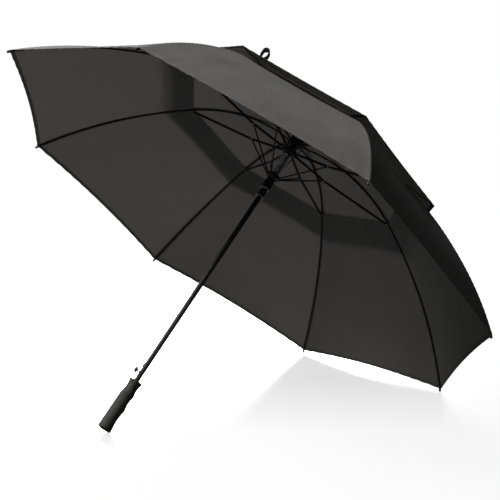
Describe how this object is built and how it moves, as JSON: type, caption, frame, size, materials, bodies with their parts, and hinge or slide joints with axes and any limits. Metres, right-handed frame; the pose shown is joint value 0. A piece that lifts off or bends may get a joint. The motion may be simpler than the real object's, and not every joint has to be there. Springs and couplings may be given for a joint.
{
  "type": "golf umbrella",
  "caption": "Open vented double-canopy golf umbrella with curved fluted ribs, stretchers, links, a sprung two-part runner, a trigger latch and a grooved foam grip, lying on the floor.",
  "frame": {"origin": "on the floor, straight below the centre of the rim's plane, which is the bottom centre of the object's box", "axes": "+Z is the floor's upward normal; +X runs level along the two rib tips that touch the floor; the shaft lies in the YZ plane with the crown towards +Y and up, and the handle's end on the floor towards -Y"},
  "size_m": [1.2046, 0.8894, 0.8351],
  "materials": {
    "shaft": "satin",
    "frame": "satin",
    "bright": "polished",
    "plastic": "satin",
    "grip": "matte",
    "fabric": "matte",
    "spring": "satin"
  },
  "bodies": {
    "umbrella": {"shaft": "shaft", "top_notch": "plastic", "notch_wire": "bright", "crown_cap": "plastic", "ferrule": "plastic", "stop_ring": "plastic", "handle_grip": "grip", "handle_core": "plastic", "latch_leaf": "bright"},
    "rib_1": {"rib_1": "frame", "rib_tip_1": "plastic", "canopy_1": "fabric"},
    "stretcher_1": {"stretcher_1": "frame"},
    "link_1": {"link_1": "frame"},
    "rib_2": {"rib_2": "frame", "rib_tip_2": "plastic", "canopy_2": "fabric"},
    "stretcher_2": {"stretcher_2": "frame"},
    "link_2": {"link_2": "frame"},
    "rib_3": {"rib_3": "frame", "rib_tip_3": "plastic", "canopy_3": "fabric"},
    "stretcher_3": {"stretcher_3": "frame"},
    "link_3": {"link_3": "frame"},
    "rib_4": {"rib_4": "frame", "rib_tip_4": "plastic", "canopy_4": "fabric"},
    "stretcher_4": {"stretcher_4": "frame"},
    "link_4": {"link_4": "frame"},
    "rib_5": {"rib_5": "frame", "rib_tip_5": "plastic", "canopy_5": "fabric"},
    "stretcher_5": {"stretcher_5": "frame"},
    "link_5": {"link_5": "frame"},
    "rib_6": {"rib_6": "frame", "rib_tip_6": "plastic", "canopy_6": "fabric"},
    "stretcher_6": {"stretcher_6": "frame"},
    "link_6": {"link_6": "frame"},
    "rib_7": {"rib_7": "frame", "rib_tip_7": "plastic", "canopy_7": "fabric", "closing_strap": "fabric"},
    "stretcher_7": {"stretcher_7": "frame"},
    "link_7": {"link_7": "frame"},
    "rib_8": {"rib_8": "frame", "rib_tip_8": "plastic", "canopy_8": "fabric"},
    "stretcher_8": {"stretcher_8": "frame"},
    "link_8": {"link_8": "frame"},
    "main_runner": {"main_runner": "plastic", "runner_wire": "bright", "opening_spring": "spring"},
    "pull_runner": {"pull_collar": "plastic", "pull_body": "plastic", "pull_sleeve": "frame", "pull_rings": "bright", "link_wire": "bright"},
    "trigger": {"trigger_button": "plastic"},
    "latch": {"latch": "bright"}
  },
  "joints": [
    {"name": "rib_1_fold", "type": "hinge", "parent": "umbrella", "child": "rib_1", "pos_m": [0.01201, 0.18486, 0.602], "axis": [-0.3827, 0.6785, -0.627], "range_deg": [0, 66.6], "stiffness_Nm_per_rad": 1.2, "springref_deg": -91.67, "deforming": ["canopy_1"]},
    {"name": "stretcher_1_elbow", "type": "hinge", "parent": "rib_1", "child": "stretcher_1", "pos_m": [0.2804, 0.25735, 0.51664], "axis": [-0.3827, 0.6785, -0.627], "range_deg": [-133.2, 0]},
    {"name": "link_1_knee", "type": "hinge", "parent": "stretcher_1", "child": "link_1", "pos_m": [0.10163, 0.1921, 0.55515], "axis": [-0.3827, 0.6785, -0.627], "range_deg": [0, 33.7]},
    {"name": "rib_2_fold", "type": "hinge", "parent": "umbrella", "child": "rib_2", "pos_m": [0.00497, 0.19003, 0.59723], "axis": [-0.9239, 0.2811, -0.2597], "range_deg": [0, 66.6], "deforming": ["canopy_2"]},
    {"name": "stretcher_2_elbow", "type": "hinge", "parent": "rib_2", "child": "stretcher_2", "pos_m": [0.11614, 0.37798, 0.40517], "axis": [-0.9239, 0.2811, -0.2597], "range_deg": [-133.2, 0]},
    {"name": "link_2_knee", "type": "hinge", "parent": "stretcher_2", "child": "link_2", "pos_m": [0.0421, 0.23582, 0.51474], "axis": [-0.9239, 0.2811, -0.2597], "range_deg": [0, 33.7]},
    {"name": "rib_3_fold", "type": "hinge", "parent": "umbrella", "child": "rib_3", "pos_m": [-0.00497, 0.19003, 0.59723], "axis": [-0.9239, -0.2811, 0.2597], "range_deg": [0, 66.6], "deforming": ["canopy_3"]},
    {"name": "stretcher_3_elbow", "type": "hinge", "parent": "rib_3", "child": "stretcher_3", "pos_m": [-0.11614, 0.37798, 0.40517], "axis": [-0.9239, -0.2811, 0.2597], "range_deg": [-133.2, 0]},
    {"name": "link_3_knee", "type": "hinge", "parent": "stretcher_3", "child": "link_3", "pos_m": [-0.0421, 0.23582, 0.51474], "axis": [-0.9239, -0.2811, 0.2597], "range_deg": [0, 33.7]},
    {"name": "rib_4_fold", "type": "hinge", "parent": "umbrella", "child": "rib_4", "pos_m": [-0.01201, 0.18486, 0.602], "axis": [-0.3827, -0.6785, 0.627], "range_deg": [0, 66.6], "deforming": ["canopy_4"]},
    {"name": "stretcher_4_elbow", "type": "hinge", "parent": "rib_4", "child": "stretcher_4", "pos_m": [-0.2804, 0.25735, 0.51664], "axis": [-0.3827, -0.6785, 0.627], "range_deg": [-133.2, 0]},
    {"name": "link_4_knee", "type": "hinge", "parent": "stretcher_4", "child": "link_4", "pos_m": [-0.10163, 0.1921, 0.55515], "axis": [-0.3827, -0.6785, 0.627], "range_deg": [0, 33.7]},
    {"name": "rib_5_fold", "type": "hinge", "parent": "umbrella", "child": "rib_5", "pos_m": [-0.01201, 0.17755, 0.60876], "axis": [0.3827, -0.6785, 0.627], "range_deg": [0, 66.6], "deforming": ["canopy_5"]},
    {"name": "stretcher_5_elbow", "type": "hinge", "parent": "rib_5", "child": "stretcher_5", "pos_m": [-0.2804, 0.08675, 0.67429], "axis": [0.3827, -0.6785, 0.627], "range_deg": [-133.2, 0]},
    {"name": "link_5_knee", "type": "hinge", "parent": "stretcher_5", "child": "link_5", "pos_m": [-0.10163, 0.13027, 0.61228], "axis": [0.3827, -0.6785, 0.627], "range_deg": [0, 33.7]},
    {"name": "rib_6_fold", "type": "hinge", "parent": "umbrella", "child": "rib_6", "pos_m": [-0.00497, 0.17239, 0.61353], "axis": [0.9239, -0.2811, 0.2597], "range_deg": [0, 66.6], "deforming": ["canopy_6"]},
    {"name": "stretcher_6_elbow", "type": "hinge", "parent": "rib_6", "child": "stretcher_6", "pos_m": [-0.11614, -0.03389, 0.78577], "axis": [0.9239, -0.2811, 0.2597], "range_deg": [-133.2, 0]},
    {"name": "link_6_knee", "type": "hinge", "parent": "stretcher_6", "child": "link_6", "pos_m": [-0.0421, 0.08655, 0.65269], "axis": [0.9239, -0.2811, 0.2597], "range_deg": [0, 33.7]},
    {"name": "rib_7_fold", "type": "hinge", "parent": "umbrella", "child": "rib_7", "pos_m": [0.00497, 0.17239, 0.61353], "axis": [0.9239, 0.2811, -0.2597], "range_deg": [0, 66.6], "deforming": ["canopy_7"]},
    {"name": "stretcher_7_elbow", "type": "hinge", "parent": "rib_7", "child": "stretcher_7", "pos_m": [0.11614, -0.03389, 0.78577], "axis": [0.9239, 0.2811, -0.2597], "range_deg": [-133.2, 0]},
    {"name": "link_7_knee", "type": "hinge", "parent": "stretcher_7", "child": "link_7", "pos_m": [0.0421, 0.08655, 0.65269], "axis": [0.9239, 0.2811, -0.2597], "range_deg": [0, 33.7]},
    {"name": "rib_8_fold", "type": "hinge", "parent": "umbrella", "child": "rib_8", "pos_m": [0.01201, 0.17755, 0.60876], "axis": [0.3827, 0.6785, -0.627], "range_deg": [0, 66.6], "deforming": ["canopy_8"]},
    {"name": "stretcher_8_elbow", "type": "hinge", "parent": "rib_8", "child": "stretcher_8", "pos_m": [0.2804, 0.08675, 0.67429], "axis": [0.3827, 0.6785, -0.627], "range_deg": [-133.2, 0]},
    {"name": "link_8_knee", "type": "hinge", "parent": "stretcher_8", "child": "link_8", "pos_m": [0.10163, 0.13027, 0.61228], "axis": [0.3827, 0.6785, -0.627], "range_deg": [0, 33.7]},
    {"name": "main_runner_pivot", "type": "hinge", "parent": "stretcher_1", "child": "main_runner", "pos_m": [0.01201, 0.16654, 0.58217], "axis": [-0.3827, 0.6785, -0.627], "range_deg": [0, 66.6]},
    {"name": "pull_runner_slide", "type": "slide", "parent": "main_runner", "child": "pull_runner", "axis": [0, 0.6787, 0.7344], "range_m": [0, 0.05042], "deforming": ["opening_spring"]},
    {"name": "trigger_press", "type": "slide", "parent": "umbrella", "child": "trigger", "axis": [0.5, 0.636, -0.5878], "range_m": [0, 0.0035], "stiffness_N_per_m": 400, "springref_m": -0.004},
    {"name": "latch_press", "type": "slide", "parent": "umbrella", "child": "latch", "axis": [0.5, 0.636, -0.5878], "range_m": [0, 0.0028]}
  ],
  "couplings": [
    {"joint": "stretcher_1_elbow", "follows": "rib_1_fold", "ratio": -2},
    {"joint": "link_1_knee", "follows": "rib_1_fold", "ratio": 0.50565},
    {"joint": "rib_2_fold", "follows": "rib_1_fold", "ratio": 1},
    {"joint": "stretcher_2_elbow", "follows": "rib_1_fold", "ratio": -2},
    {"joint": "link_2_knee", "follows": "rib_1_fold", "ratio": 0.50565},
    {"joint": "rib_3_fold", "follows": "rib_1_fold", "ratio": 1},
    {"joint": "stretcher_3_elbow", "follows": "rib_1_fold", "ratio": -2},
    {"joint": "link_3_knee", "follows": "rib_1_fold", "ratio": 0.50565},
    {"joint": "rib_4_fold", "follows": "rib_1_fold", "ratio": 1},
    {"joint": "stretcher_4_elbow", "follows": "rib_1_fold", "ratio": -2},
    {"joint": "link_4_knee", "follows": "rib_1_fold", "ratio": 0.50565},
    {"joint": "rib_5_fold", "follows": "rib_1_fold", "ratio": 1},
    {"joint": "stretcher_5_elbow", "follows": "rib_1_fold", "ratio": -2},
    {"joint": "link_5_knee", "follows": "rib_1_fold", "ratio": 0.50565},
    {"joint": "rib_6_fold", "follows": "rib_1_fold", "ratio": 1},
    {"joint": "stretcher_6_elbow", "follows": "rib_1_fold", "ratio": -2},
    {"joint": "link_6_knee", "follows": "rib_1_fold", "ratio": 0.50565},
    {"joint": "rib_7_fold", "follows": "rib_1_fold", "ratio": 1},
    {"joint": "stretcher_7_elbow", "follows": "rib_1_fold", "ratio": -2},
    {"joint": "link_7_knee", "follows": "rib_1_fold", "ratio": 0.50565},
    {"joint": "rib_8_fold", "follows": "rib_1_fold", "ratio": 1},
    {"joint": "stretcher_8_elbow", "follows": "rib_1_fold", "ratio": -2},
    {"joint": "link_8_knee", "follows": "rib_1_fold", "ratio": 0.50565},
    {"joint": "main_runner_pivot", "follows": "rib_1_fold", "ratio": 1},
    {"joint": "pull_runner_slide", "follows": "rib_1_fold", "m_per_rad": 0.043356},
    {"joint": "latch_press", "follows": "trigger_press", "ratio": 0.8}
  ]
}
